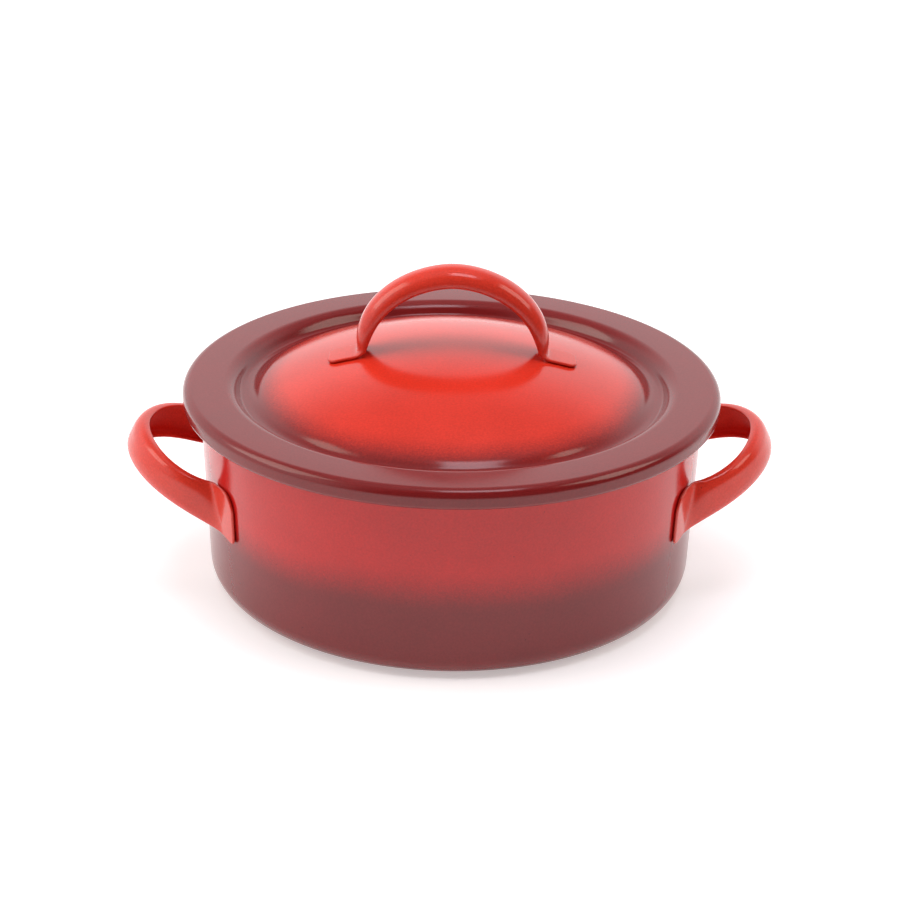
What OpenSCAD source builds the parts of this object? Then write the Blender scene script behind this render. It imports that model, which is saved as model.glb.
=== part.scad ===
// Low two-handled cooking pot with a domed lid, all pressed from enamelled steel sheet.
// The origin is the centre of the base, on the surface that the pot stands on.
// +Z is up, and the side handles lie along X. Sizes are in millimetres.

/* [Pot] */
// Outside diameter of the wall, measured at the rim
pot_d = 200.4; // [160:0.2:260]
// Height of the rim above the surface that the pot stands on
pot_h = 81; // [70:0.2:110]
// How much less the wall's radius is at the base than at the rim
wall_draft = 3.1; // [0:0.1:6]
// Thickness of the enamelled wall and base
wall_t = 1.5; // [1:0.1:2.2]
// Outside radius of the corner between the wall and the base
base_corner_r = 10; // [6:1:16]
// How far the rolled rim stands out from the wall
rim_out = 4.2; // [3:0.2:6]
// Diameter of the roll along the rim
rim_roll_d = 4.6; // [3:0.2:5.6]

/* [Lid] */
// Thickness of the enamelled lid sheet
lid_t = 1.3; // [1:0.1:1.8]
// Gap between the closed lid and the top of the rim
lid_rest_gap = 0.3; // [0.2:0.1:0.6]
// Gap between the lid's skirt and the rolled rim
skirt_gap = 1.05; // [0.8:0.05:2]
// Height of the lid's turned-down edge, from its top face to its hem
skirt_h = 7.7; // [6.2:0.1:12]
// Radius of the corner between the brim and the skirt
skirt_corner_r = 3.6; // [2:0.2:5]
// Radius of the hem that turns in under the skirt
hem_r = 2; // [1.4:0.2:3]
// Angle that the hem turns through
hem_turn = 60; // [20:5:70]
// Width of the brim, from the skirt's outside to the top of the groove's outer wall
brim_w = 16.2; // [13:0.2:24]
// Depth of the groove inside the brim
groove_depth = 5.3; // [4.3:0.1:8]
// Width of the groove's flat floor
groove_floor_w = 1.2; // [0.5:0.1:6]
// Slope of the groove's outer wall
groove_wall_slope = 60; // [45:1:67]
// Radius where the brim turns down into the groove
groove_lip_r = 6; // [3:0.5:8]
// Radius at the foot of the groove's outer wall
groove_foot_r = 2.5; // [1.5:0.5:4]
// Radius where the groove's floor turns up into the dome
dome_foot_r = 6; // [3:0.5:8]
// Slope of the dome's side, its steepest part
dome_side_slope = 40; // [30:1:60]
// Length of the dome's straight side
dome_side_l = 0.8; // [0.5:0.1:4]
// Radius of the dome's shoulder
dome_shoulder_r = 12; // [6:1:30]
// Slope of the dome's crown where it meets the shoulder
dome_crown_slope = 23.1; // [15:0.1:28]
// Angle that the lid is turned on the pot
lid_turn = -2.4; // [-180:0.1:180]

/* [Side handles] */
// Thickness of the enamelled handle strap
strap_t = 1.2; // [0.9:0.1:1.6]
// How far the loop reaches out from its root, measured along its own slope
loop_reach = 39.8; // [30:0.1:60]
// Half of the distance between the loop's two arms
loop_half_w = 37.4; // [28:0.1:50]
// Slope of the loop, which rises as it goes outwards
loop_tilt = 26.2; // [0:0.1:40]
// Height of the loop's root, at the middle of the strap
loop_root_z = 41.9; // [35:0.1:60]
// Half of the strap's width along the bow
bow_half_w = 6.7; // [5:0.1:10]
// Half of the strap's width where it reaches the wall
root_half_w = 9.8; // [7:0.1:12]
// How deeply the strap's edges are turned in along the bow
bow_depth = 4; // [2:0.1:6]
// Length of a foot round the wall, from the middle of its fold to its far edge
foot_l = 14; // [10:0.5:20]
// How far a foot's fold lies outside the line of the loop's arm
fold_flare = 2; // [0:0.1:4]
// Height of a foot's lower edge below the middle of its fold
foot_drop = 9.9; // [8:0.1:14]
// Height of a foot's upper edge above the middle of its fold
foot_rise = 10.8; // [8:0.1:14]
// Radius of a foot's upper corner
foot_corner_r = 8; // [4:0.5:10]
// Gap between a handle's foot or tab and the sheet under it, which the welds bridge
weld_gap = 0.3; // [0.2:0.1:0.5]
// Diameter of a side handle's spot weld
foot_weld_d = 5; // [3:0.5:6]

/* [Lid handle] */
// Half of the arch's span, at the outside of its legs
arch_half_span = 38.3; // [30:0.1:46]
// Height of the arch above its tabs
arch_h = 36.2; // [28:0.1:50]
// Half of the strap's width at the top of the arch
arch_half_w = 7; // [5:0.1:9]
// Half of a tab's width
tab_half_w = 6.3; // [5:0.1:8]
// How deeply the strap's edges are turned down at the top of the arch
arch_depth = 6.2; // [3:0.1:8]
// Distance of a tab's end from the lid's axis
tab_end_r = 48.6; // [46:0.1:58]
// Radius of a tab's corners
tab_corner_r = 3; // [1:0.5:5]
// Diameter of a lid handle's spot weld
tab_weld_d = 3.6; // [2:0.2:4.4]

/* [Hidden] */

$fn = 96;
ENAMEL_RED = "#d63a2c";
ENAMEL_MAROON = "#74201f";
ENAMEL_ORANGE = "#e04a38";
WELD_GREY = "#6e6a68";

// Steps along a rounded stretch of a turned outline
ARC_STEPS = 10;

// The pot's outline, worked out from its sizes
pot_r = pot_d / 2;
draft_angle = atan(wall_draft / pot_h);
roll_r = rim_roll_d / 2;
roll_centre = [pot_r + rim_out - roll_r, pot_h - roll_r];
mouth_r = (roll_centre[0] - pot_r + wall_t / cos(draft_angle)) / (1 / cos(draft_angle) - tan(draft_angle));
corner_centre = [wall_r(base_corner_r) - base_corner_r / cos(draft_angle), base_corner_r];

// The lid's outline, from its skirt inwards and from its groove up to its crown
brim_z = pot_h + lid_rest_gap + lid_t;
lid_r = roll_centre[0] + roll_r + skirt_gap + lid_t;
groove_z = brim_z - groove_depth;
lip_r = lid_r - brim_w;
groove_wall_l = (groove_depth - (groove_lip_r + groove_foot_r) * (1 - cos(groove_wall_slope)))
                / sin(groove_wall_slope);
groove_out_r = lip_r - (groove_lip_r + groove_foot_r) * sin(groove_wall_slope)
               - groove_wall_l * cos(groove_wall_slope);
groove_in_r = groove_out_r - groove_floor_w;
dome_foot_centre = [groove_in_r, groove_z + dome_foot_r];
side_foot = dome_foot_centre + dome_foot_r * polar(-90 - dome_side_slope);
side_top = side_foot + dome_side_l * polar(180 - dome_side_slope);
shoulder_centre = side_top - dome_shoulder_r * polar(90 - dome_side_slope);
shoulder_top = shoulder_centre + dome_shoulder_r * polar(90 - dome_crown_slope);
crown_r = shoulder_top[0] / sin(dome_crown_slope);
crown_centre_z = shoulder_top[1] - crown_r * cos(dome_crown_slope);

// Shape of the side handles' strap
BOW_POWER_OUT = 2.37;     // fullness of the bow along its reach
BOW_POWER_SIDE = 1.8;     // fullness of the bow across its width
BOW_SECTION_POWER = 2.85; // squareness of the strap's section along the bow
ROOT_FADE = 6.7;          // distance over which the strap narrows from its root
DEPTH_FADE = 8;           // distance over which the turned-in edges flatten at the root
ROOT_DEPTH_SHARE = 0.3;   // share of the edge depth that is left at the root
ROOT_SINK = 1;            // how far inside the wall the bow's middle line starts
FOLD_LEAN = 3.5;          // length by which the fold leans, round the wall, to either edge
FOLD_LIFT = 2.3;          // height of the fold's middle above the loop's root
FOLD_FADE = 6;            // distance over which an arm takes up its own line after the fold
FOLD_ROUND = 2.8;         // length on each side of the fold that its bend takes up
FOOT_LOWER_CORNER_R = 2;  // radius of a foot's lower corner

// Where a side handle meets the wall
root_x = sqrt(pot_r * pot_r - loop_half_w * loop_half_w) - ROOT_SINK;
fold_angle = asin((loop_half_w + fold_flare) / pot_r);
foot_angle = arc_angle(foot_l);
fold_lean_angle = arc_angle(FOLD_LEAN);
fold_z = loop_root_z + FOLD_LIFT;
fold_half_h = root_half_w * cos(loop_tilt);
root_start = ROOT_SINK / cos(loop_tilt);
root_stagger = root_half_w * tan(loop_tilt);

// Shape of the lid handle's strap
ARCH_POWER_SPAN = 1.84;   // fullness of the arch across its span
ARCH_POWER_H = 2.3;       // fullness of the arch over its height
ARCH_SECTION_POWER = 2.25;
NECK_FADE = 8.9;          // height over which the turned-down edges grow from the neck
NECK_DEPTH = 1.6;         // depth of the edges at the neck
NECK_TUCK = 1.6;          // how far the legs draw in at the neck
TUCK_FADE = 5;            // height over which the legs draw in

// Rows and columns of the strap surfaces
STRAP_COLUMNS = 13;
FOOT_ROWS = 6;
BEND_ROWS = 5;
ARM_ROWS = 22;

// How deep a weld nugget reaches into each of the two sheets
NUGGET_DEPTH = 0.4;

// Angles round the pot, and heights, of a foot's two welds
FOOT_WELDS = [[fold_angle + foot_angle - arc_angle(6.2), fold_z + 4.4],
              [fold_angle + foot_angle - arc_angle(4.7), fold_z - 4.4]];
// Distances of a tab's two welds from the lid's axis and from the tab's middle line
tab_weld_x = (tab_end_r + arch_half_span) / 2 + 0.6;
TAB_WELD_Y = 3;

// Angle round the pot that a length l along its wall takes up
function arc_angle(l) = l / pot_r * 180 / PI;
function polar(a) = [cos(a), sin(a)];
function unit(v) = v / norm(v);
function signed_power(x, p) = sign(x) * pow(abs(x), p);

// Outside radius of the pot's wall at height z
function wall_r(z) = pot_r - wall_draft * (pot_h - z) / pot_h;

// Points of an arc about c, from angle a0 to angle a1
function arc(c, r, a0, a1) =
    [for (i = [0 : ARC_STEPS]) c + r * polar(a0 + (a1 - a0) * i / ARC_STEPS)];

// A stretch of the lid's top face: each entry is a point and the angle that its normal has.
// side is 1 where the face is convex and -1 where it is hollow.
function bend(c, r, n0, n1, side) =
    [for (i = [0 : ARC_STEPS])
        let (n = n0 + (n1 - n0) * i / ARC_STEPS)
        [c + side * r * polar(n), n]];

lid_face = concat(
    bend([0, crown_centre_z], crown_r, 90, 90 - dome_crown_slope, 1),
    bend(shoulder_centre, dome_shoulder_r, 90 - dome_crown_slope, 90 - dome_side_slope, 1),
    bend(dome_foot_centre, dome_foot_r, 90 - dome_side_slope, 90, -1),
    bend([groove_out_r, groove_z + groove_foot_r], groove_foot_r, 90, 90 + groove_wall_slope, -1),
    bend([lip_r, brim_z - groove_lip_r], groove_lip_r, 90 + groove_wall_slope, 90, 1),
    bend([lid_r - skirt_corner_r, brim_z - skirt_corner_r], skirt_corner_r, 90, 0, 1),
    bend([lid_r - hem_r, brim_z - skirt_h + hem_r * sin(hem_turn)], hem_r, 0, -hem_turn, 1));

// The lid's face moved by d along its own normals
function lid_line(d) = [for (p = lid_face) p[0] + d * polar(p[1])];
function reversed(list) = [for (i = [len(list) - 1 : -1 : 0]) list[i]];

// A sheet of thickness t whose middle surface is the grid of points g
module sheet_solid(g, t) {
    rows = len(g);
    cols = len(g[0]);
    upper = [for (i = [0 : rows - 1]) for (j = [0 : cols - 1]) g[i][j] + t / 2 * grid_normal(g, i, j)];
    lower = [for (i = [0 : rows - 1]) for (j = [0 : cols - 1]) g[i][j] - t / 2 * grid_normal(g, i, j)];
    under = rows * cols;
    last = (rows - 1) * cols;
    top_faces = [for (i = [0 : rows - 2]) for (j = [0 : cols - 2])
        each cell(i * cols + j, i * cols + j + 1, (i + 1) * cols + j + 1, (i + 1) * cols + j)];
    bottom_faces = [for (i = [0 : rows - 2]) for (j = [0 : cols - 2])
        each cell(under + i * cols + j, under + (i + 1) * cols + j,
                  under + (i + 1) * cols + j + 1, under + i * cols + j + 1)];
    side_faces = [for (i = [0 : rows - 2])
        each concat(
            cell(i * cols, (i + 1) * cols, under + (i + 1) * cols, under + i * cols),
            cell((i + 1) * cols + cols - 1, i * cols + cols - 1,
                 under + i * cols + cols - 1, under + (i + 1) * cols + cols - 1))];
    end_faces = [for (j = [0 : cols - 2])
        each concat(
            cell(j + 1, j, under + j, under + j + 1),
            cell(last + j, last + j + 1, under + last + j + 1, under + last + j))];
    polyhedron(concat(upper, lower), concat(top_faces, bottom_faces, side_faces, end_faces), convexity = 8);
}

// Two triangles that fill the cell with corners a, b, c and d
function cell(a, b, c, d) = [[a, b, c], [a, c, d]];

// Unit normal of the grid g at row i and column j
function grid_normal(g, i, j) =
    let (rows = len(g), cols = len(g[0]),
         along = g[min(i + 1, rows - 1)][j] - g[max(i - 1, 0)][j],
         across = g[i][min(j + 1, cols - 1)] - g[i][max(j - 1, 0)])
    unit(cross(along, across));

// Where across the strap each column lies, from -90 at its lower edge to 90 at its upper edge
column_angles = [for (j = [0 : STRAP_COLUMNS - 1]) -90 + 180 * j / (STRAP_COLUMNS - 1)];

// Half of the strap, mirrored in the XZ plane and joined to itself at its last row
function mirrored_in_y(half) =
    concat(half, [for (i = [len(half) - 2 : -1 : 0]) [for (p = half[i]) [p[0], -p[1], p[2]]]]);

// A point on the outside of the pot's wall, where a foot's middle surface lies
function on_wall(angle, z) =
    let (r = wall_r(z) + weld_gap + strap_t / 2)
    [r * cos(angle), -r * sin(angle), z];

// The bow's middle line at angle a, from 0 at the root to 90 at its outermost point
function bow_out(a) = loop_reach * pow(sin(a), 2 / BOW_POWER_OUT);
function bow_side(a) = loop_half_w * pow(cos(a), 2 / BOW_POWER_SIDE);
// Outward normal of the bow's middle line, in the plane of the loop
function bow_normal(a) =
    a > 89.9 ? [1, 0] :
    let (d = 0.01,
         along = [bow_out(a + d) - bow_out(a - d), bow_side(a + d) - bow_side(a - d)])
    unit([-along[1], along[0]]);

// A point of the arm or bow: a is the angle along it, and c is the column's angle across it
function arm_point(a, c) =
    let (v = sin(c),
         out = bow_out(a),
         start = root_start + root_stagger * v,
         half_w = bow_half_w + (root_half_w - bow_half_w) * exp(-out / ROOT_FADE),
         depth = bow_depth * (1 - (1 - ROOT_DEPTH_SHARE) * exp(-out / DEPTH_FADE)),
         up = half_w * signed_power(v, 2 / BOW_SECTION_POWER),
         inset = depth * (1 - pow(abs(cos(c)), 2 / BOW_SECTION_POWER)),
         n = bow_normal(max(a, 0.02)),
         reach = start + (loop_reach - start) * out / loop_reach - inset * n[0],
         y = bow_side(a) - inset * n[1])
    [root_x + reach * cos(loop_tilt) - up * sin(loop_tilt), -y,
     loop_root_z + reach * sin(loop_tilt) + up * cos(loop_tilt)];

// The point of the fold in the column at angle c
function fold_point(c) = on_wall(fold_angle - fold_lean_angle * sin(c), fold_z + fold_half_h * sin(c));
// A point of the arm, drawn over to the fold near the root
function arm_from_fold(a, c) =
    arm_point(a, c) + (fold_point(c) - arm_point(0, c)) * exp(-bow_out(a) / FOLD_FADE);

// Length of the foot, round the wall, in the column at angle c
function foot_length(c) = foot_l + FOLD_LEAN * sin(c);
// How far a corner of radius r draws in an edge at distance d from the foot's far edge
function corner_inset(r, d) = r - sqrt(r * r - pow(max(r - d, 0), 2));
// A point of the foot: s goes from 0 at its far edge to 1 at its fold
function foot_point(s, c) =
    let (d = s * foot_length(c),
         high = foot_rise * (1 - s) + fold_half_h * s - corner_inset(foot_corner_r, d),
         low = foot_drop * (1 - s) + fold_half_h * s - corner_inset(FOOT_LOWER_CORNER_R, d),
         z = fold_z + (high - low) / 2 + (high + low) / 2 * sin(c))
    on_wall(fold_angle + foot_angle - arc_angle(d), z);

// A smooth bend from p0 to p1 that would have its sharp corner at k
function bend_point(p0, k, p1, s) = (1 - s) * (1 - s) * p0 + 2 * s * (1 - s) * k + s * s * p1;

arm_start = asin(pow(FOLD_ROUND / loop_reach, BOW_POWER_OUT / 2));
function foot_end(c) = 1 - FOLD_ROUND / foot_length(c);

side_handle_grid = mirrored_in_y(concat(
    [for (i = [0 : FOOT_ROWS])
        [for (c = column_angles) foot_point(foot_end(c) * pow(i / FOOT_ROWS, 2), c)]],
    [for (i = [1 : BEND_ROWS - 1])
        [for (c = column_angles)
            bend_point(foot_point(foot_end(c), c), fold_point(c), arm_from_fold(arm_start, c), i / BEND_ROWS)]],
    [for (i = [0 : ARM_ROWS])
        [for (c = column_angles) arm_from_fold(arm_start + (90 - arm_start) * i / ARM_ROWS, c)]]));

// Height of the middle surface of a tab that lies on the dome's crown
function on_crown(x, y) =
    let (r = crown_r + weld_gap + strap_t / 2)
    [x, y, crown_centre_z + sqrt(r * r - x * x - y * y)];

tab_z = on_crown(arch_half_span, 0)[2];
function arch_x(a) = arch_half_span * pow(cos(a), 2 / ARCH_POWER_SPAN);
function arch_rise(a) = arch_h * pow(sin(a), 2 / ARCH_POWER_H);
function arch_normal(a) =
    a > 89.9 ? [0, 1] :
    let (d = 0.01, along = [arch_x(a + d) - arch_x(a - d), arch_rise(a + d) - arch_rise(a - d)])
    unit([along[1], -along[0]]);
// A point of the arch: a is 0 at the tab and 90 at the top, c is the column's angle
function arch_point(a, c) =
    let (rise = arch_rise(a),
         half_w = arch_half_w + (tab_half_w - arch_half_w) * exp(-rise / NECK_FADE),
         depth = arch_depth + (NECK_DEPTH - arch_depth) * exp(-rise / NECK_FADE),
         inset = depth * (1 - pow(abs(cos(c)), 2 / ARCH_SECTION_POWER)),
         n = arch_normal(max(a, 0.02)))
    [arch_x(a) - NECK_TUCK * exp(-rise / TUCK_FADE) - inset * n[0],
     half_w * signed_power(sin(c), 2 / ARCH_SECTION_POWER),
     tab_z + rise - inset * n[1]];

neck_x = arch_half_span - NECK_TUCK;
function tab_half_w_at(d) = tab_half_w - corner_inset(tab_corner_r, d);
// A point of a tab: s goes from 0 at its end to 1 at its fold
function tab_point(s, c) =
    let (d = s * (tab_end_r - neck_x))
    on_crown(tab_end_r - d, tab_half_w_at(d) * sin(c));
function neck_fold(c) = on_crown(neck_x, tab_half_w * sin(c));
arch_start = asin(pow(FOLD_ROUND / arch_h, ARCH_POWER_H / 2));
tab_fold_start = 1 - FOLD_ROUND / (tab_end_r - neck_x);

function mirrored_in_x(half) =
    concat(half, [for (i = [len(half) - 2 : -1 : 0]) [for (p = half[i]) [-p[0], p[1], p[2]]]]);

lid_handle_grid = mirrored_in_x(concat(
    [for (i = [0 : FOOT_ROWS])
        [for (c = column_angles) tab_point(tab_fold_start * pow(i / FOOT_ROWS, 2), c)]],
    [for (i = [1 : BEND_ROWS - 1])
        [for (c = column_angles)
            bend_point(tab_point(tab_fold_start, c), neck_fold(c), arch_point(arch_start, c), i / BEND_ROWS)]],
    [for (i = [0 : ARM_ROWS])
        [for (c = column_angles) arch_point(arch_start + (90 - arch_start) * i / ARM_ROWS, c)]]));

// Deep-drawn pot with a slightly widening wall and a rim rolled outwards
module pot_shell() {
    color(ENAMEL_RED)
    rotate_extrude()
    polygon(concat(
        [[0, 0]],
        arc(corner_centre, base_corner_r, -90, -draft_angle),
        [[wall_r(pot_h - rim_roll_d), pot_h - rim_roll_d]],
        arc(roll_centre, roll_r, -90, 90),
        arc([roll_centre[0], pot_h - mouth_r], mouth_r, 90, 180 - draft_angle),
        arc(corner_centre, base_corner_r - wall_t, -draft_angle, -90),
        [[0, wall_t]]));
}

module right_handle() {
    color(ENAMEL_ORANGE)
    sheet_solid(side_handle_grid, strap_t);
}

module left_handle() {
    mirror([1, 0, 0]) right_handle();
}

// The four fused nuggets that hold the right handle's feet to the wall
module right_handle_welds() {
    color(WELD_GREY)
    for (w = FOOT_WELDS, side = [-1, 1])
        rotate([0, 0, side * w[0]])
        translate([wall_r(w[1]) - NUGGET_DEPTH, 0, w[1]])
        rotate([0, 90, 0])
        cylinder(d = foot_weld_d, h = weld_gap + 2 * NUGGET_DEPTH);
}

module left_handle_welds() {
    mirror([1, 0, 0]) right_handle_welds();
}

// Pressed lid: dome, groove, flat brim and turned-down skirt with its hem
module lid_shell() {
    color(ENAMEL_MAROON)
    rotate([0, 0, lid_turn])
    rotate_extrude()
    polygon(concat(lid_line(0), reversed(lid_line(-lid_t))));
}

module lid_handle() {
    color(ENAMEL_ORANGE)
    rotate([0, 0, lid_turn])
    sheet_solid(lid_handle_grid, strap_t);
}

// The four fused nuggets that hold the lid handle's tabs to the dome
module lid_handle_welds() {
    color(WELD_GREY)
    rotate([0, 0, lid_turn])
    for (side = [-1, 1], y = [-TAB_WELD_Y, TAB_WELD_Y])
        translate([0, 0, crown_centre_z])
        rotate([-asin(y / crown_r), asin(side * tab_weld_x / crown_r), 0])
        translate([0, 0, crown_r - NUGGET_DEPTH])
        cylinder(d = tab_weld_d, h = weld_gap + 2 * NUGGET_DEPTH);
}

pot_shell();
left_handle();
right_handle();
left_handle_welds();
right_handle_welds();
lid_shell();
lid_handle();
lid_handle_welds();
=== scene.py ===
"""A low two-handled cooking pot with a lid, pressed from steel sheet and enamelled red and dark maroon."""

import bpy
import numpy as np
from mathutils import Matrix


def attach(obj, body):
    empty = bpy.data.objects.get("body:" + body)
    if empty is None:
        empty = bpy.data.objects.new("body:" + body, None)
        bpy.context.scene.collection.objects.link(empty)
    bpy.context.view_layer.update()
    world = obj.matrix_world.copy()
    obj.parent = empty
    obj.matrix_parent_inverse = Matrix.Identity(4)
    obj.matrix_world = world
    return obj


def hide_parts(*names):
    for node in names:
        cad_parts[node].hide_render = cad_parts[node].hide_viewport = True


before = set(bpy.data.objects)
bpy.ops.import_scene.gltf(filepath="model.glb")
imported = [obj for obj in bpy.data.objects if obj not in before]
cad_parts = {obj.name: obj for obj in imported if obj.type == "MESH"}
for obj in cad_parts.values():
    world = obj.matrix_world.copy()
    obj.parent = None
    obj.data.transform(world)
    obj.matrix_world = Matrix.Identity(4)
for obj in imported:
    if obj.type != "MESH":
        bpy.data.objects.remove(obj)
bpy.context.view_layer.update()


# ---- Camera ----------------------------------------------------------------------------------------
# It stands 0.9 m from the pot, a little to the left of straight in front, and looks down by 24 degrees.
# The long lens keeps the two side handles nearly in profile. The tripod head leans by one degree.
CAMERA_DISTANCE = 0.9
CAMERA_ELEVATION = np.radians(24.05)
CAMERA_AZIMUTH = np.radians(-2.45)
CAMERA_LEAN = np.radians(1.021)
AIM = np.array([-0.000295, 0.0, 0.05103])

camera_data = bpy.data.cameras.new("camera")
camera_data.lens = 89.1
camera_data.sensor_width = 36.0
camera_data.clip_start = 0.01
camera = bpy.data.objects.new("camera", camera_data)
bpy.context.scene.collection.objects.link(camera)
turn = np.array([[np.cos(CAMERA_AZIMUTH), -np.sin(CAMERA_AZIMUTH), 0],
                 [np.sin(CAMERA_AZIMUTH), np.cos(CAMERA_AZIMUTH), 0],
                 [0, 0, 1]])
back = turn @ [0, -np.cos(CAMERA_ELEVATION), np.sin(CAMERA_ELEVATION)]
level_right = turn @ [1, 0, 0]
level_up = np.cross(back, level_right)
right = level_right * np.cos(CAMERA_LEAN) + level_up * np.sin(CAMERA_LEAN)
up = level_up * np.cos(CAMERA_LEAN) - level_right * np.sin(CAMERA_LEAN)
place = np.eye(4)
place[:3] = np.column_stack([right, up, back, turn @ AIM + back * CAMERA_DISTANCE])
camera.matrix_world = Matrix(place.tolist())
bpy.context.scene.camera = camera


# ---- Pot shell -------------------------------------------------------------------------------------
# One deep-drawn pressing of 1.5 mm steel with a flat base, a wall that widens slightly and a rim rolled
# outwards. It is enamelled all over: red outside, sprayed over with maroon near the base and on the rim,
# and a pale cream inside.
MM = 0.001
TURN_STEPS = 256
POT_R, POT_H, WALL_DRAFT, WALL_T, BASE_CORNER_R = 100.2, 81.0, 3.1, 1.5, 10.0
RIM_OUT, ROLL_R = 4.2, 2.3


def wall_r(z):
    """Outside radius of the wall at height z: a straight line from the base to the rim."""
    return POT_R - WALL_DRAFT * (POT_H - z) / POT_H


def arc(centre, radius, start, end, steps=16):
    """Points of an arc in the (radius, height) plane: centre + radius (cos, sin) of evenly spaced angles."""
    a = np.radians(np.linspace(start, end, steps + 1))
    return np.array(centre) + radius * np.stack([np.cos(a), np.sin(a)], 1)


def straight(start, end, steps):
    """Evenly spaced points between two ends, without the ends themselves."""
    share = np.linspace(0, 1, steps + 1)[1:-1, None]
    return (1 - share) * start + share * end


def new_piece(name, points, faces, body, materials, face_material=None):
    """A smooth mesh piece, its points given in millimetres, that rides on a body of the frame."""
    mesh = bpy.data.meshes.new(name)
    mesh.from_pydata(points * MM, [], faces)
    mesh.polygons.foreach_set("use_smooth", np.ones(len(mesh.polygons), bool))
    for material in materials:
        mesh.materials.append(material)
    if face_material is not None:
        mesh.polygons.foreach_set("material_index", face_material)
    mesh.update()
    piece = bpy.data.objects.new(name, mesh)
    bpy.context.scene.collection.objects.link(piece)
    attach(piece, body)
    return piece


def turned(outline, steps=TURN_STEPS):
    """Points and faces of an outline of (radius, height) rows carried round the Z axis.

    x = radius cos(turn) and y = radius sin(turn). The outline starts and ends on the axis, at single
    points, and runs anticlockwise, so the faces point outwards.
    """
    a = np.linspace(0, 2 * np.pi, steps, endpoint=False)
    rings = outline[1:-1]
    ring_points = np.stack([rings[:, :1] * np.cos(a), rings[:, :1] * np.sin(a),
                            np.repeat(rings[:, 1:], steps, 1)], -1).reshape(-1, 3)
    points = np.vstack([[0, 0, outline[0, 1]], ring_points, [0, 0, outline[-1, 1]]])
    index = 1 + np.arange(len(rings) * steps).reshape(-1, steps)
    beside = np.roll(index, -1, 1)
    bands = np.stack([index[:-1], beside[:-1], beside[1:], index[1:]], -1).reshape(-1, 4)
    first = np.stack([np.zeros(steps, int), beside[0], index[0]], -1)
    last = np.stack([np.full(steps, len(points) - 1), index[-1], beside[-1]], -1)
    return points, first.tolist() + bands.tolist() + last.tolist()


draft = np.arctan(WALL_DRAFT / POT_H)
draft_deg = np.degrees(draft)
corner = np.array([wall_r(BASE_CORNER_R) - BASE_CORNER_R / np.cos(draft), BASE_CORNER_R])
roll = np.array([POT_R + RIM_OUT - ROLL_R, POT_H - ROLL_R])
mouth_r = (roll[0] - POT_R + WALL_T / np.cos(draft)) / (1 / np.cos(draft) - np.tan(draft))
roll_foot = np.array([wall_r(POT_H - 2 * ROLL_R), POT_H - 2 * ROLL_R])
outer_corner = arc(corner, BASE_CORNER_R, -90, -draft_deg, 24)
inner_corner = arc(corner, BASE_CORNER_R - WALL_T, -draft_deg, -90, 20)
mouth = arc([roll[0], POT_H - mouth_r], mouth_r, 90, 180 - draft_deg)
outside = np.vstack([[[0, 0]], straight(np.array([0, 0]), outer_corner[0], 12), outer_corner,
                     straight(outer_corner[-1], roll_foot, 24), [roll_foot], arc(roll, ROLL_R, -90, 90, 24)])
inside = np.vstack([mouth[1:], straight(mouth[-1], inner_corner[0], 24), inner_corner,
                    straight(inner_corner[-1], np.array([0, WALL_T]), 12), [[0, WALL_T]]])


def linear(code):
    """A colour as linear light, from its sRGB hex code.

    Each share c becomes ((c + 0.055) / 1.055) to the power 2.4, or c / 12.92 where it is dark.
    """
    c = np.array([int(code[i:i + 2], 16) for i in (1, 3, 5)]) / 255
    return (*np.where(c > 0.04045, ((c + 0.055) / 1.055) ** 2.4, c / 12.92), 1.0)


def node(tree, kind, links=None, **settings):
    """Adds a node, gives it its settings, and joins or sets each of its named inputs."""
    made = tree.nodes.new(kind)
    for name, value in settings.items():
        setattr(made, name, value)
    for name, value in (links or {}).items():
        if isinstance(value, bpy.types.NodeSocket):
            tree.links.new(value, made.inputs[name])
        else:
            made.inputs[name].default_value = value
    return made


def new_material(name):
    """An empty node material, its tree and its Object coordinates in millimetres."""
    material = bpy.data.materials.new(name)
    material.use_nodes = True
    tree = material.node_tree
    tree.nodes.clear()
    coordinates = node(tree, "ShaderNodeTexCoord")
    mm = node(tree, "ShaderNodeMapping", {"Vector": coordinates.outputs["Object"],
                                          "Scale": (1000, 1000, 1000)})
    return material, tree, mm.outputs[0]


# Vitreous enamel is coloured glass, fused on at about 820 degrees. It is hard and glossy, and its surface
# keeps a faint orange peel, 2 to 3 mm from crest to crest, which makes the edges of reflections waver.
ENAMEL_IOR = 1.5
ENAMEL_ROUGHNESS = 0.16
PEEL_MM = 2.4
PEEL_HEIGHT = 0.000012
GRAIN_MM = 0.8
CLOUD_MM = 28.0


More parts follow.
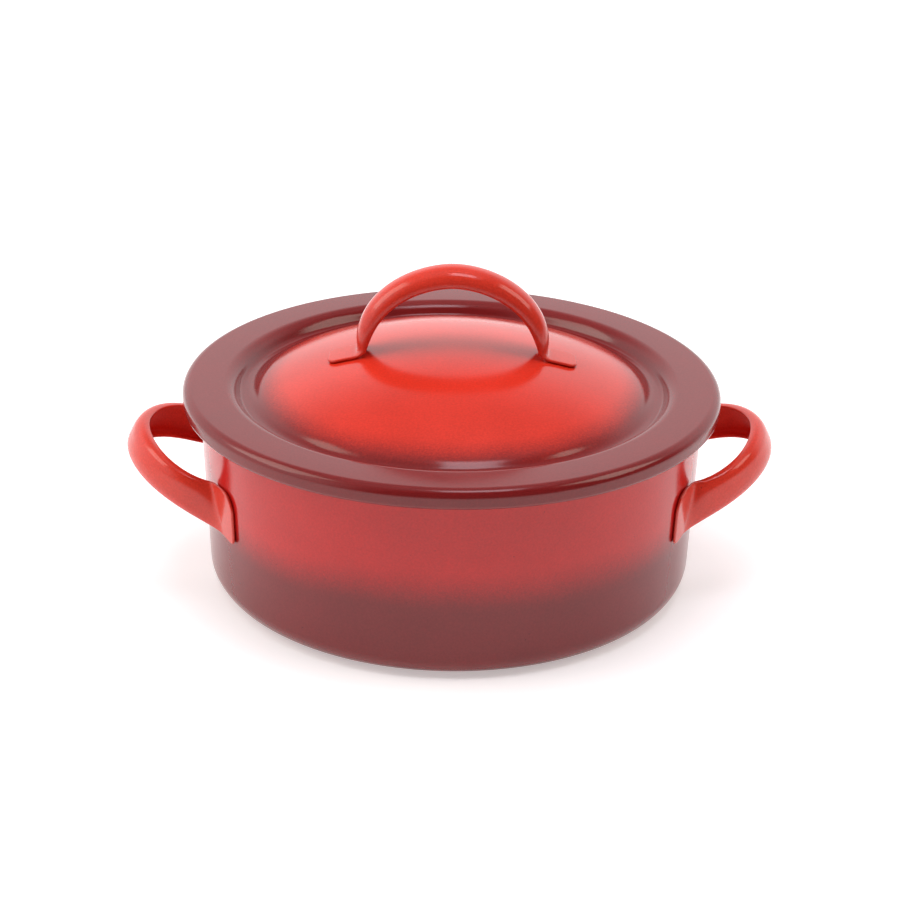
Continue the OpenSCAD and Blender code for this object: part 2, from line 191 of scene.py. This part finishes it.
def finish_enamel(tree, mm, colour, roughness=ENAMEL_ROUGHNESS):
    """Joins a colour to an enamel surface with clouding, fine grain, pinholes and orange peel."""
    cloud = node(tree, "ShaderNodeTexNoise", {"Vector": mm, "Scale": 1 / CLOUD_MM, "Detail": 2.0})
    grain = node(tree, "ShaderNodeTexNoise", {"Vector": mm, "Scale": 1 / GRAIN_MM, "Detail": 3.0,
                                              "Roughness": 0.6})
    cloud_value = node(tree, "ShaderNodeMapRange", {"Value": cloud.outputs[0], "From Min": 0.3,
                                                    "From Max": 0.7, "To Min": 0.94, "To Max": 1.05})
    grain_value = node(tree, "ShaderNodeMapRange", {"Value": grain.outputs[0], "From Min": 0.25,
                                                    "From Max": 0.75, "To Min": 0.86, "To Max": 1.13})
    value = node(tree, "ShaderNodeMath", {0: cloud_value.outputs[0], 1: grain_value.outputs[0]},
                 operation="MULTIPLY")
    # Pinholes: a cell every 9 mm holds one dark spot 0.25 mm in radius.
    cells = node(tree, "ShaderNodeTexVoronoi", {"Vector": mm, "Scale": 1 / 9.0})
    spot = node(tree, "ShaderNodeMapRange", {"Value": cells.outputs["Distance"], "From Min": 0.02,
                                             "From Max": 0.035, "To Min": 0.45, "To Max": 1.0})
    spotted = node(tree, "ShaderNodeMath", {0: value.outputs[0], 1: spot.outputs[0]}, operation="MULTIPLY")
    varied = node(tree, "ShaderNodeVectorMath", {0: colour, "Scale": spotted.outputs[0]}, operation="SCALE")
    waves = node(tree, "ShaderNodeTexNoise", {"Vector": mm, "Scale": 1 / PEEL_MM, "Detail": 1.5})
    ripple = node(tree, "ShaderNodeBump", {"Height": waves.outputs[0], "Strength": 1.0,
                                           "Distance": PEEL_HEIGHT})
    smear = node(tree, "ShaderNodeMapRange", {"Value": cloud.outputs[0], "From Min": 0.3, "From Max": 0.7,
                                              "To Min": roughness - 0.02, "To Max": roughness + 0.03})
    surface = node(tree, "ShaderNodeBsdfPrincipled", {"Base Color": varied.outputs[0],
                                                      "Roughness": smear.outputs[0],
                                                      "IOR": ENAMEL_IOR, "Normal": ripple.outputs[0]})
    node(tree, "ShaderNodeOutputMaterial", {"Surface": surface.outputs[0]})


def sprayed(tree, mm, ground, spray, cover):
    """A sprayed-over colour: cover goes from 0 to 1, and the spray's edge breaks up into 0.7 mm droplets."""
    droplets = node(tree, "ShaderNodeTexNoise", {"Vector": mm, "Scale": 1 / 0.7, "Detail": 2.0})
    scatter = node(tree, "ShaderNodeMath", {0: droplets.outputs[0], 1: 0.5}, operation="SUBTRACT")
    open_share = node(tree, "ShaderNodeMath", {0: 1.0, 1: cover}, operation="SUBTRACT")
    edge = node(tree, "ShaderNodeMath", {0: cover, 1: open_share.outputs[0]}, operation="MULTIPLY")
    broken = node(tree, "ShaderNodeMath", {0: scatter.outputs[0], 1: edge.outputs[0]}, operation="MULTIPLY")
    mixed = node(tree, "ShaderNodeMath", {0: broken.outputs[0], 1: 4.0, 2: cover}, operation="MULTIPLY_ADD",
                 use_clamp=True)
    return node(tree, "ShaderNodeMixRGB", {"Fac": mixed.outputs[0], "Color1": linear(ground),
                                           "Color2": linear(spray)}).outputs[0]


def wandering(tree, mm, distance):
    """A distance that drifts by up to 2.5 mm either way over some 45 mm, as a spray's edge does."""
    drift = node(tree, "ShaderNodeTexNoise", {"Vector": mm, "Scale": 1 / 45.0, "Detail": 1.0})
    drift_mm = node(tree, "ShaderNodeMath", {0: drift.outputs[0], 1: 5.0, 2: -2.5}, operation="MULTIPLY_ADD")
    return node(tree, "ShaderNodeMath", {0: distance, 1: drift_mm.outputs[0]}, operation="ADD").outputs[0]


# Red ground coat, kept darker than the lid's red as painted shade for the dimmer light on the upright wall,
# with maroon sprayed over its lower half and its rim. To the eye the pot stands on a dark foot that melts
# upwards into a bright wall, through a band of fine droplets.
WALL_RED_WITH_PAINTED_SHADE = "#C21E1B"
MAROON = "#7A1C1D"
pot_red, tree, mm = new_material("red_enamel_sprayed_maroon")
height = node(tree, "ShaderNodeSeparateXYZ", {0: mm})
low_spray = node(tree, "ShaderNodeMapRange", {"Value": wandering(tree, mm, height.outputs["Z"]),
                                              "From Min": 48.0, "From Max": 28.0},
                 interpolation_type="SMOOTHSTEP")
rim_spray = node(tree, "ShaderNodeMapRange", {"Value": height.outputs["Z"],
                                              "From Min": 76.0, "From Max": 77.5},
                 interpolation_type="SMOOTHSTEP")
cover = node(tree, "ShaderNodeMath", {0: low_spray.outputs[0], 1: rim_spray.outputs[0]}, operation="MAXIMUM")
finish_enamel(tree, mm, sprayed(tree, mm, WALL_RED_WITH_PAINTED_SHADE, MAROON, cover.outputs[0]))

# Pale cream enamel inside, one plain coat. It makes the hollow look light and clean when the lid is up.
CREAM = "#DDD3BE"
pale_inside, tree, mm = new_material("pale_cream_enamel")
finish_enamel(tree, mm, linear(CREAM)[:3])

points, faces = turned(np.vstack([outside, inside]))
face_ring = np.repeat(np.arange(len(outside) + len(inside) - 1), TURN_STEPS)
pot = new_piece("pot_shell_enamel", points, faces, "pot", [pot_red, pale_inside],
                (face_ring >= len(outside) - 1).astype(np.int32))
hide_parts("pot_shell")


# ---- Lid shell -------------------------------------------------------------------------------------
# One pressing of 1.3 mm sheet: a dome, a groove round its foot, a flat brim and a turned-down skirt whose
# hem curls in. The dome is red, and the maroon sprayed over it comes in at its shoulder, full by its foot.
LID_T, LID_REST_GAP, SKIRT_GAP = 1.3, 0.3, 1.05
SKIRT_H, SKIRT_CORNER_R, HEM_R, HEM_TURN = 7.7, 3.6, 2.0, 60.0
BRIM_W, GROOVE_DEPTH, GROOVE_FLOOR_W, GROOVE_SLOPE = 16.2, 5.3, 1.2, 60.0
GROOVE_LIP_R, GROOVE_FOOT_R = 6.0, 2.5
DOME_FOOT_R, DOME_SLOPE, DOME_SIDE_L, SHOULDER_R, CROWN_SLOPE = 6.0, 40.0, 0.8, 12.0, 23.1
LID_TURN = np.radians(-2.4)
lid_turn = np.array([[np.cos(LID_TURN), -np.sin(LID_TURN), 0],
                     [np.sin(LID_TURN), np.cos(LID_TURN), 0],
                     [0, 0, 1]])


def polar(angle):
    """Unit vector at an angle in degrees."""
    return np.array([np.cos(np.radians(angle)), np.sin(np.radians(angle))])


def bend(centre, radius, start, end, steps):
    """A bend of the lid's top face, as rows of (radius, height, angle of the normal).

    Each point is centre + radius (cos, sin) of the angle, so a bend of negative radius is hollow.
    """
    a = np.linspace(start, end, steps + 1)
    return np.column_stack([np.array(centre) + radius * np.stack(polar(a), 1), a])


brim_z = POT_H + LID_REST_GAP + LID_T
lid_r = roll[0] + ROLL_R + SKIRT_GAP + LID_T
groove_z = brim_z - GROOVE_DEPTH
lip_r = lid_r - BRIM_W
both_r = GROOVE_LIP_R + GROOVE_FOOT_R
groove_wall_l = (GROOVE_DEPTH - both_r * (1 - polar(GROOVE_SLOPE)[0])) / polar(GROOVE_SLOPE)[1]
groove_out_r = lip_r - both_r * polar(GROOVE_SLOPE)[1] - groove_wall_l * polar(GROOVE_SLOPE)[0]
dome_foot = np.array([groove_out_r - GROOVE_FLOOR_W, groove_z + DOME_FOOT_R])
side_top = dome_foot + DOME_FOOT_R * polar(-90 - DOME_SLOPE) + DOME_SIDE_L * polar(180 - DOME_SLOPE)
shoulder = side_top - SHOULDER_R * polar(90 - DOME_SLOPE)
shoulder_top = shoulder + SHOULDER_R * polar(90 - CROWN_SLOPE)
crown_r = shoulder_top[0] / np.sin(np.radians(CROWN_SLOPE))
crown_z = shoulder_top[1] - crown_r * np.cos(np.radians(CROWN_SLOPE))
lid_face = np.vstack([
    bend([0, crown_z], crown_r, 90, 90 - CROWN_SLOPE, 40),
    bend(shoulder, SHOULDER_R, 90 - CROWN_SLOPE, 90 - DOME_SLOPE, 20)[1:],
    bend(dome_foot, -DOME_FOOT_R, 90 - DOME_SLOPE, 90, 20),
    bend([groove_out_r, groove_z + GROOVE_FOOT_R], -GROOVE_FOOT_R, 90, 90 + GROOVE_SLOPE, 18),
    bend([lip_r, brim_z - GROOVE_LIP_R], GROOVE_LIP_R, 90 + GROOVE_SLOPE, 90, 24),
    bend([lid_r - SKIRT_CORNER_R, brim_z - SKIRT_CORNER_R], SKIRT_CORNER_R, 90, 0, 24),
    bend([lid_r - HEM_R, brim_z - SKIRT_H + HEM_R * polar(HEM_TURN)[1]], HEM_R, 0, -HEM_TURN, 12)])
lid_top = lid_face[:, :2]
lid_under = lid_top - LID_T * np.stack(polar(lid_face[:, 2]), 1)
hem_edge = arc((lid_top[-1] + lid_under[-1]) / 2, LID_T / 2, -HEM_TURN - 180, -HEM_TURN, 8)

# A brighter red than the pot's, whose red is kept darker as painted shade, with the same maroon, which comes
# in over the dome's shoulder and is full by its foot. The dome is the brightest part, and the dark brim draws
# a ring round it.
LID_RED = "#D43120"
lid_red, tree, mm = new_material("lid_enamel_red_to_maroon")
flat = node(tree, "ShaderNodeVectorMath", {0: mm, 1: (1, 1, 0)}, operation="MULTIPLY")
radius = node(tree, "ShaderNodeVectorMath", {0: flat.outputs[0]}, operation="LENGTH")
cover = node(tree, "ShaderNodeMapRange", {"Value": wandering(tree, mm, radius.outputs["Value"]),
                                          "From Min": 65.0, "From Max": 80.0},
             interpolation_type="SMOOTHSTEP")
finish_enamel(tree, mm, sprayed(tree, mm, LID_RED, MAROON, cover.outputs[0]))

outline = np.vstack([lid_under[:-1], hem_edge, lid_top[-2::-1]])
points, faces = turned(outline)
face_ring = np.repeat(np.arange(len(outline) - 1), TURN_STEPS)
lid = new_piece("lid_shell_enamel", points @ lid_turn.T, faces, "lid", [lid_red, pale_inside],
                (face_ring < len(lid_under) - 1).astype(np.int32))
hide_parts("lid_shell")


# ---- Side handles ----------------------------------------------------------------------------------
# Each is one pressed strap of 1.2 mm steel, enamelled plain orange-red. Two leaf-shaped feet lie against
# the wall, spot-welded to it, and the loop between them rises outwards with its edges turned in.
STRAP_T, WELD_GAP = 1.2, 0.3
LOOP_REACH, LOOP_HALF_W, LOOP_TILT, LOOP_ROOT_Z = 39.78, 37.4, np.radians(26.2), 41.9
BOW_HALF_W, ROOT_HALF_W, BOW_DEPTH = 6.7, 9.8, 4.0
FOOT_L, FOLD_FLARE, FOOT_DROP, FOOT_RISE = 14.0, 2.0, 9.9, 10.8
FOOT_UPPER_CORNER_R, FOOT_LOWER_CORNER_R = 8.0, 2.0
BOW_POWER_OUT, BOW_POWER_SIDE, BOW_SECTION_POWER = 2.37, 1.8, 2.85
ROOT_FADE, DEPTH_FADE, ROOT_DEPTH_SHARE, ROOT_SINK = 6.7, 8.0, 0.3, 1.0
FOLD_LEAN, FOLD_LIFT, FOLD_FADE, FOLD_ROUND = 3.5, 2.3, 6.0, 2.8

root_x = np.sqrt(POT_R ** 2 - LOOP_HALF_W ** 2) - ROOT_SINK
fold_turn = np.arcsin((LOOP_HALF_W + FOLD_FLARE) / POT_R)
foot_turn = FOOT_L / POT_R
fold_z = LOOP_ROOT_Z + FOLD_LIFT
fold_half_h = ROOT_HALF_W * np.cos(LOOP_TILT)


def unit(v):
    """Vectors along the last axis, each divided by its own length."""
    return v / np.linalg.norm(v, axis=-1, keepdims=True)


def points_at(*parts):
    """Grid of points from three grids, or numbers, that spread to one shape."""
    return np.stack(np.broadcast_arrays(*parts), -1)


def on_wall(angle, z):
    """Where a foot's middle surface lies on the wall: (r cos, -r sin, z) with r just outside the wall."""
    r = wall_r(z) + WELD_GAP + STRAP_T / 2
    return points_at(r * np.cos(angle), -r * np.sin(angle), z)


def softened(c, power):
    """c to a power just over 1, made straight near 0 so that a bow has no kink at its outermost point."""
    return c * ((c * c + 0.01) / 1.01) ** ((power - 1) / 2)


def bow_out(a):
    """Reach of the bow's middle line at angle a: loop reach times sin(a) to a power."""
    return LOOP_REACH * np.sin(a) ** (2 / BOW_POWER_OUT)


def bow_side(a):
    """Distance of the bow's middle line from the loop's own axis: half width times cos(a) to a power."""
    return LOOP_HALF_W * softened(np.abs(np.cos(a)), 2 / BOW_POWER_SIDE)


def line_normal(out, side, a):
    """Normal of the line (out(a), side(a)), from the slope over a small step either way."""
    d = 1e-4
    low = np.maximum(a - d, 1e-5)
    high = np.minimum(a + d, np.pi / 2)
    n = np.stack([-(side(high) - side(low)), out(high) - out(low)], -1)
    n = unit(n)
    n[a > np.radians(89.9)] = [1, 0]
    return n


def signed_power(x, p):
    """The power p of a number's size, with the number's own sign."""
    return np.sign(x) * np.abs(x) ** p


def arm_point(a, c):
    """The loop's strap: the bow's middle line at a, plus a flattened oval section at c across the strap.

    The section's edges are set in along the line's normal, and the whole loop is tilted about its root.
    """
    v = np.sin(c)
    out = bow_out(a)
    start = ROOT_SINK / np.cos(LOOP_TILT) + ROOT_HALF_W * np.tan(LOOP_TILT) * v
    half_w = BOW_HALF_W + (ROOT_HALF_W - BOW_HALF_W) * np.exp(-out / ROOT_FADE)
    depth = BOW_DEPTH * (1 - (1 - ROOT_DEPTH_SHARE) * np.exp(-out / DEPTH_FADE))
    rise = half_w * signed_power(v, 2 / BOW_SECTION_POWER)
    inset = depth * (1 - np.abs(np.cos(c)) ** (2 / BOW_SECTION_POWER))
    n = line_normal(bow_out, bow_side, a)
    forward = start + (LOOP_REACH - start) * out / LOOP_REACH - inset * n[..., 0]
    return points_at(root_x + forward * np.cos(LOOP_TILT) - rise * np.sin(LOOP_TILT),
                     -(bow_side(a) - inset * n[..., 1]),
                     LOOP_ROOT_Z + forward * np.sin(LOOP_TILT) + rise * np.cos(LOOP_TILT))


def fold_point(c):
    """The line where a foot turns into the loop's arm, leaning round the wall as it rises."""
    return on_wall(fold_turn - FOLD_LEAN / POT_R * np.sin(c), fold_z + fold_half_h * np.sin(c))


def arm_from_fold(a, c):
    """The loop's strap, drawn over to the fold near its root by a share that fades as it goes outwards."""
    root = arm_point(np.full_like(a, 1e-4), c)
    share = np.exp(-bow_out(a) / FOLD_FADE)[..., None]
    return arm_point(a, c) + (fold_point(c) - root) * share


def corner_inset(r, d):
    """How far a corner of radius r draws in an edge at distance d from the foot's far edge."""
    return r - np.sqrt(r * r - np.maximum(r - d, 0) ** 2)


def foot_point(s, c):
    """A foot: s goes from 0 at its far edge to 1 at its fold, and its height narrows from its corners."""
    d = s * (FOOT_L + FOLD_LEAN * np.sin(c))
    high = FOOT_RISE * (1 - s) + fold_half_h * s - corner_inset(FOOT_UPPER_CORNER_R, d)
    low = FOOT_DROP * (1 - s) + fold_half_h * s - corner_inset(FOOT_LOWER_CORNER_R, d)
    return on_wall(fold_turn + foot_turn - d / POT_R, fold_z + (high - low) / 2 + (high + low) / 2 * np.sin(c))


def rounded_bend(start, knee, end, steps):
    """Rows between two rows of points, along the quadratic curve that would have its sharp corner at knee."""
    s = np.linspace(0, 1, steps + 1)[1:-1, None, None]
    return (1 - s) ** 2 * start + 2 * s * (1 - s) * knee + s * s * end


def sheet(middle, thickness, edge_steps=8):
    """Points and faces of a sheet round a grid of middle points.

    Its faces lie half the thickness to either side along the grid's normals, and its border is half-round.
    """
    along, across = np.gradient(middle, axis=0), np.gradient(middle, axis=1)
    normal = unit(np.cross(along, across))
    rows, cols = middle.shape[:2]
    i = np.concatenate([np.arange(rows - 1), np.full(cols - 1, rows - 1), np.arange(rows - 1, 0, -1),
                        np.zeros(cols - 1, int)])
    j = np.concatenate([np.zeros(rows - 1, int), np.arange(cols - 1), np.full(rows - 1, cols - 1),
                        np.arange(cols - 1, 0, -1)])
    edge, edge_normal = middle[i, j], normal[i, j]
    outward = unit(np.cross(np.roll(edge, -1, 0) - np.roll(edge, 1, 0), edge_normal))
    a = np.linspace(np.pi / 2, -np.pi / 2, edge_steps + 1)[1:-1, None, None]
    bead = edge + thickness / 2 * (np.cos(a) * outward + np.sin(a) * edge_normal)
    points = np.vstack([(middle + thickness / 2 * normal).reshape(-1, 3),
                        (middle - thickness / 2 * normal).reshape(-1, 3), bead.reshape(-1, 3)])
    top = np.arange(rows * cols).reshape(rows, cols)
    cells = np.stack([top[:-1, :-1], top[1:, :-1], top[1:, 1:], top[:-1, 1:]], -1).reshape(-1, 4)
    rings = np.vstack([top[i, j], 2 * rows * cols + np.arange(bead[..., 0].size).reshape(edge_steps - 1, -1),
                       top[i, j] + rows * cols])
    beside = np.roll(rings, -1, 1)
    strips = np.stack([rings[:-1], rings[1:], beside[1:], beside[:-1]], -1).reshape(-1, 4)
    return points, np.vstack([cells, (cells + rows * cols)[:, ::-1], strips]).tolist()


def both_ways(half, axis):
    """The half grid joined at its last row to its own mirror image across one plane."""
    flip = np.ones(3)
    flip[axis] = -1
    return np.vstack([half, half[-2::-1] * flip])


# One plain coat of a hotter orange-red, a little glossier than the rest. The handles stand out from the
# red behind them, and their turned-in edges catch thin bright lines.
ORANGE = "#D63A2A"
ORANGE_ROUGHNESS = 0.14
orange, tree, mm = new_material("orange_red_enamel")
finish_enamel(tree, mm, linear(ORANGE)[:3], ORANGE_ROUGHNESS)

columns = np.radians(np.linspace(-90, 90, 49))[None]
foot_rows = np.linspace(0, 1, 25)[:, None] ** 2 * (1 - FOLD_ROUND / (FOOT_L + FOLD_LEAN * np.sin(columns)))
foot = foot_point(foot_rows, columns)
arm_start = np.arcsin((FOLD_ROUND / LOOP_REACH) ** (BOW_POWER_OUT / 2))
arm = arm_from_fold(np.linspace(arm_start, np.pi / 2, 73)[:, None] + 0 * columns, columns)
fold = rounded_bend(foot[-1], fold_point(columns)[0], arm[0], 12)
loop = both_ways(np.vstack([foot, fold, arm]), 1)
for side, name in ((1, "right_handle"), (-1, "left_handle")):
    points, faces = sheet(loop[::side] * [side, 1, 1], STRAP_T)
    handle = new_piece(name + "_enamel", points, faces, "pot", [orange])
    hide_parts(name)


# ---- Lid handle ------------------------------------------------------------------------------------
# One pressed strap of the same steel and enamel: an arch with its edges turned down, and two flat tabs
# with rounded corners that are spot-welded to the dome.
ARCH_HALF_SPAN, ARCH_H, ARCH_HALF_W, TAB_HALF_W, ARCH_DEPTH = 38.3, 36.2, 7.0, 6.3, 6.2
TAB_END_R, TAB_CORNER_R = 48.6, 3.0
ARCH_POWER_SPAN, ARCH_POWER_H, ARCH_SECTION_POWER = 1.84, 2.3, 2.25
NECK_FADE, NECK_DEPTH, NECK_TUCK, TUCK_FADE = 8.9, 1.6, 1.6, 5.0


def on_crown(x, y):
    """Where a tab's middle surface lies on the dome: just above the crown's sphere."""
    r = crown_r + WELD_GAP + STRAP_T / 2
    return points_at(x, y, crown_z + np.sqrt(r * r - x * x - y * y))


def arch_x(a):
    """Distance of the arch's line from its middle: half span times cos(a) to a power."""
    return ARCH_HALF_SPAN * softened(np.abs(np.cos(a)), 2 / ARCH_POWER_SPAN)


def arch_rise(a):
    """Height of the arch's line above its tabs: arch height times sin(a) to a power."""
    return ARCH_H * np.sin(a) ** (2 / ARCH_POWER_H)


def arch_point(a, c):
    """The arch's strap: its line at a, plus a flattened oval section at c with its edges turned down."""
    rise = arch_rise(a)
    half_w = ARCH_HALF_W + (TAB_HALF_W - ARCH_HALF_W) * np.exp(-rise / NECK_FADE)
    depth = ARCH_DEPTH + (NECK_DEPTH - ARCH_DEPTH) * np.exp(-rise / NECK_FADE)
    inset = depth * (1 - np.abs(np.cos(c)) ** (2 / ARCH_SECTION_POWER))
    n = line_normal(arch_rise, arch_x, a)
    return points_at(arch_x(a) - NECK_TUCK * np.exp(-rise / TUCK_FADE) - inset * n[..., 1],
                     half_w * signed_power(np.sin(c), 2 / ARCH_SECTION_POWER),
                     tab_z + rise - inset * n[..., 0])


def tab_point(s, c):
    """A tab: s goes from 0 at its end to 1 at its fold, and its width narrows at its rounded corners."""
    d = s * (TAB_END_R - neck_x)
    return on_crown(TAB_END_R - d, (TAB_HALF_W - corner_inset(TAB_CORNER_R, d)) * np.sin(c))


neck_x = ARCH_HALF_SPAN - NECK_TUCK
tab_z = on_crown(ARCH_HALF_SPAN, 0.0)[2]
tab_rows = np.linspace(0, 1, 25)[:, None] ** 2 * (1 - FOLD_ROUND / (TAB_END_R - neck_x))
tab = tab_point(tab_rows, columns)
arch_start = np.arcsin((FOLD_ROUND / ARCH_H) ** (ARCH_POWER_H / 2))
arch = arch_point(np.linspace(arch_start, np.pi / 2, 73)[:, None] + 0 * columns, columns)
tab_fold = on_crown(np.full_like(columns, neck_x), TAB_HALF_W * np.sin(columns))[0]
neck = rounded_bend(tab[-1], tab_fold, arch[0], 12)
arch_grid = both_ways(np.vstack([tab, neck, arch]), 0)
points, faces = sheet(arch_grid @ lid_turn.T, STRAP_T)
handle = new_piece("lid_handle_enamel", points, faces, "lid", [orange])
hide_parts("lid_handle")


# ---- Welds -----------------------------------------------------------------------------------------
# Resistance spot welds: small discs of fused steel between each foot or tab and the sheet under it.
# They are bare steel, blued by the heat, and show only in the gap at a foot's edge.
weld_steel, tree, mm = new_material("spot_weld_steel")
heat = node(tree, "ShaderNodeTexNoise", {"Vector": mm, "Scale": 1 / 1.5, "Detail": 3.0})
tint = node(tree, "ShaderNodeMixRGB", {"Fac": heat.outputs[0], "Color1": linear("#5B5F6B"),
                                       "Color2": linear("#8A7460")})
scale = node(tree, "ShaderNodeMapRange", {"Value": heat.outputs[0], "To Min": 0.35, "To Max": 0.6})
surface = node(tree, "ShaderNodeBsdfPrincipled", {"Base Color": tint.outputs[0], "Metallic": 1.0,
                                                  "Roughness": scale.outputs[0]})
node(tree, "ShaderNodeOutputMaterial", {"Surface": surface.outputs[0]})
for name in ("left_handle_welds", "right_handle_welds", "lid_handle_welds"):
    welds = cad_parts[name]
    welds.data.materials.clear()
    welds.data.materials.append(weld_steel)


# ---- Floor and light -------------------------------------------------------------------------------
# A plain matt white floor and a small soft box above the pot, slightly in front. A warm window stands at
# either side, a wide ceiling fills the shadows without being mirrored, and the walls are bright low down
# at the back and the left and dark at the front.
floor_mesh = bpy.data.meshes.new("floor")
floor_mesh.from_pydata(np.array([[-6, -6, -0.0002], [6, -6, -0.0002], [6, 6, -0.0002], [-6, 6, -0.0002]]), [],
                       [[0, 1, 2, 3]])
floor = bpy.data.objects.new("floor", floor_mesh)
bpy.context.scene.collection.objects.link(floor)
white, tree, mm = new_material("matt_white_sweep")
# Matt white board. It glows a little, and more towards the back, in place of the light that a real sweep
# gets from lamps out of view. It gives the eye an even pale ground.
depth = node(tree, "ShaderNodeSeparateXYZ", {0: mm}).outputs["Y"]
front_fade = node(tree, "ShaderNodeMapRange", {"Value": depth, "From Min": -550.0, "From Max": -262.0},
                  interpolation_type="SMOOTHSTEP")
far = node(tree, "ShaderNodeMapRange", {"Value": depth, "From Min": 200.0, "From Max": 700.0,
                                        "To Min": 0.4, "To Max": 0.65})
glow = node(tree, "ShaderNodeMath", {0: front_fade.outputs[0], 1: far.outputs[0]}, operation="MULTIPLY")
surface = node(tree, "ShaderNodeBsdfPrincipled", {"Base Color": (0.85, 0.85, 0.86, 1), "Roughness": 0.9,
                                                  "Emission Color": (1, 1, 1, 1),
                                                  "Emission Strength": glow.outputs[0]})
node(tree, "ShaderNodeOutputMaterial", {"Surface": surface.outputs[0]})
floor_mesh.materials.append(white)

world = bpy.data.worlds.new("studio")
bpy.context.scene.world = world
world.use_nodes = True
tree = world.node_tree
tree.nodes.clear()
# The walls are bright up to 25 degrees and dim by 55. The lean is highest towards the back and the left,
# and the walls go dark where it is low.
direction = node(tree, "ShaderNodeSeparateXYZ", {0: node(tree, "ShaderNodeTexCoord").outputs["Generated"]})
belt = node(tree, "ShaderNodeMapRange", {"Value": direction.outputs["Z"], "From Min": 0.42, "From Max": 0.82,
                                         "To Min": 1.1, "To Max": 0.35}, interpolation_type="SMOOTHSTEP")
lean = node(tree, "ShaderNodeMath", {0: direction.outputs["X"], 1: -0.6, 2: direction.outputs["Y"]},
            operation="MULTIPLY_ADD")
front = node(tree, "ShaderNodeMapRange", {"Value": lean.outputs[0], "From Min": 0.15, "From Max": -0.55,
                                          "To Min": 1.0, "To Max": 0.05}, interpolation_type="SMOOTHSTEP")
strength = node(tree, "ShaderNodeMath", {0: belt.outputs[0], 1: front.outputs[0]}, operation="MULTIPLY")
sky = node(tree, "ShaderNodeBackground", {"Color": (1.0, 0.985, 1.0, 1), "Strength": strength.outputs[0]})
node(tree, "ShaderNodeOutputWorld", {"Surface": sky.outputs[0]})


def soft_box(name, where, size, power, colour, mirrored=True):
    """A square area light that faces the pot. One that is not mirrored lights it but leaves no reflection."""
    data = bpy.data.lights.new(name, "AREA")
    data.size = size
    data.energy = power
    data.color = colour
    lamp = bpy.data.objects.new(name, data)
    bpy.context.scene.collection.objects.link(lamp)
    away = unit(np.array(where) - [0, 0, 0.05])
    side_way = unit(np.cross([0, 1, 0], away))
    turned_to = np.eye(4)
    turned_to[:3] = np.column_stack([side_way, np.cross(away, side_way), away, where])
    lamp.matrix_world = Matrix(turned_to.tolist())
    lamp.visible_glossy = mirrored


soft_box("overhead", [0.12, -0.26, 1.11], 0.37, 1.95, (1.0, 0.90, 1.0))
soft_box("ceiling", [0.0, 0.05, 1.4], 1.2, 10.5, (1.0, 0.98, 1.0), mirrored=False)
soft_box("left_window", [-0.78, -0.04, 0.68], 0.6, 2.9, (1.0, 0.93, 0.82))
soft_box("right_window", [0.72, -0.16, 0.68], 0.5, 2.2, (1.0, 0.93, 0.82))

bpy.context.scene.view_settings.view_transform = "Standard"
